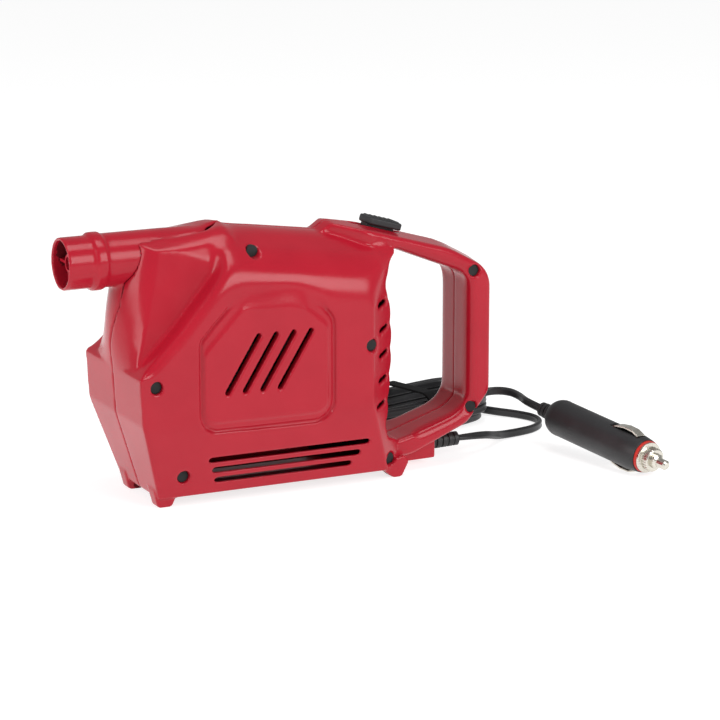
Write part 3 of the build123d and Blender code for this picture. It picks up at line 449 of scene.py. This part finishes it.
def hank_turns():
    """Points of the flattened turns, from the right end's tip to the front side's middle."""
    points = []
    for layer, fold in turns:
        z = layers[layer]
        fold += random.uniform(-0.12, 0.12)
        for end in (1, -1):
            for step in range(HALF_STEPS + 1):
                angle = math.pi * step / HALF_STEPS - math.pi / 2
                along = end * (hank_straight + fold * math.cos(angle))
                points.append(hank_point(along, end * fold * math.sin(angle), z))
            points.append(hank_point(random.uniform(-2.0, 2.0), end * fold, z))
    # the cord joins the first turn partly round its right end and leaves after the last left end
    return points[HALF_STEPS - 2 : -1]


LEAVE_ACROSS = -22.9
leave = [hank_point(along, LEAVE_ACROSS, z) for along, z in ((-4.0, 18.1), (16.0, 18.2), (33.0, 19.0))]
route = cord_out + hank_turns() + leave + cord_lead


def twin_profile():
    """The cross-section of a flat twin cord as a closed curve."""
    curve = bpy.data.curves.new("twin_profile", "CURVE")
    curve.dimensions = "2D"
    spline = curve.splines.new("POLY")
    lobe = CORD_T / 2
    offset = CORD_W / 2 - lobe
    corners = []
    for side in (1, -1):
        for step in range(9):
            angle = math.pi * step / 8 - math.pi / 2
            corners.append((side * (offset + lobe * math.cos(angle)), side * lobe * math.sin(angle)))
        corners.append((0.0, side * lobe * 0.72))
    spline.points.add(len(corners) - 1)
    for point, (x, y) in zip(spline.points, corners):
        point.co = (x * MM, y * MM, 0, 1)
    spline.use_cyclic_u = True
    profile = bpy.data.objects.new("twin_profile", curve)
    bpy.context.collection.objects.link(profile)
    profile.hide_render = True
    profile.hide_viewport = True
    return profile


def tilt_at(index):
    """The cord leaves the casing flat and turns on edge within a few centimetres."""
    return math.pi / 2 * min(1.0, index / 4)


cord_curve = bpy.data.curves.new("flat_cord", "CURVE")
cord_curve.dimensions = "3D"
cord_curve.twist_mode = "Z_UP"
cord_curve.resolution_u = 8
cord_spline = cord_curve.splines.new("NURBS")
cord_spline.points.add(len(route) - 1)
for index, (point, (x, y, z)) in enumerate(zip(cord_spline.points, route)):
    point.co = (*at(x, y, z), 1)
    point.tilt = tilt_at(index)
cord_spline.order_u = 3
cord_spline.use_endpoint_u = True
cord_curve.bevel_mode = "OBJECT"
cord_curve.bevel_object = twin_profile()
cord_curve.use_fill_caps = True
cord = add_object("flat_cord", cord_curve, BLACK_CORD, "black_cord", "pump", "cord_out", "cord_hank", "cord_to_plug")

# ------------------------------------------------------------------ floor, light and camera
floor_mesh = bpy.data.meshes.new("floor")
floor_mesh.from_pydata([(-4, -4, 0), (4, -4, 0), (4, 4, 0), (-4, 4, 0)], [], [(0, 1, 2, 3)])
floor = bpy.data.objects.new("floor", floor_mesh)
bpy.context.collection.objects.link(floor)
floor_nodes = Nodes("floor_white")
floor_nodes.bsdf.inputs["Base Color"].default_value = (0.45, 0.45, 0.45, 1)
floor_nodes.bsdf.inputs["Roughness"].default_value = 0.9
floor_nodes.bsdf.inputs["Specular IOR Level"].default_value = 0.1
floor_nodes.bsdf.inputs["Emission Color"].default_value = (1, 1, 1, 1)
floor_nodes.bsdf.inputs["Emission Strength"].default_value = 0.77
floor_mesh.materials.append(floor_nodes.mat)

bpy.context.scene.view_settings.view_transform = "Standard"
world = bpy.data.worlds.new("studio")
bpy.context.scene.world = world
world.use_nodes = True
sky = world.node_tree
direction = sky.nodes.new("ShaderNodeTexCoord")
split = sky.nodes.new("ShaderNodeSeparateXYZ")
ramp = sky.nodes.new("ShaderNodeMapRange")
sky.links.new(direction.outputs["Generated"], split.inputs["Vector"])
sky.links.new(split.outputs["Z"], ramp.inputs["Value"])
ramp.inputs["From Min"].default_value = 0.15
ramp.inputs["From Max"].default_value = 0.9
ramp.inputs["To Min"].default_value = 0.42
ramp.inputs["To Max"].default_value = 0.3
sky.links.new(ramp.outputs["Result"], sky.nodes["Background"].inputs["Strength"])
sky.nodes["Background"].inputs["Color"].default_value = (1, 1, 1, 1)


def area_light(name, azimuth, elevation, distance, width, height, radiance):
    """A soft box facing the pump; azimuth runs from the front towards the right."""
    turn, rise = math.radians(azimuth), math.radians(elevation)
    away = Vector((math.sin(turn) * math.cos(rise), -math.cos(turn) * math.cos(rise), math.sin(rise)))
    data = bpy.data.lights.new(name, "AREA")
    data.shape = "RECTANGLE"
    data.size = width
    data.size_y = height
    data.energy = radiance * math.pi * width * height
    light = bpy.data.objects.new(name, data)
    light.location = Vector((0.02, 0.0, 0.08)) + away * distance
    light.rotation_euler = away.to_track_quat("Z", "Y").to_euler()
    bpy.context.collection.objects.link(light)


area_light("front_box", 22.0, 25.0, 1.5, 0.95, 0.72, 5.4)
area_light("left_box", -82.0, 22.0, 1.5, 0.9, 0.8, 4.2)
area_light("top_box", 10.0, 80.0, 1.5, 0.9, 0.7, 4.4)

camera_data = bpy.data.cameras.new("camera")
camera_data.lens = 160.0
camera_data.sensor_width = 36.0
camera = bpy.data.objects.new("camera", camera_data)
target = at(46.9, 0.0, 61.64)
azimuth = math.radians(-25.88)
elevation = math.radians(13.52)
back = Vector((math.sin(azimuth) * math.cos(elevation), -math.cos(azimuth) * math.cos(elevation), math.sin(elevation)))
CAMERA_DISTANCE = 1.7536
camera.location = target + back * CAMERA_DISTANCE
camera.rotation_euler = back.to_track_quat("Z", "Y").to_euler()
bpy.context.collection.objects.link(camera)
bpy.context.scene.camera = camera
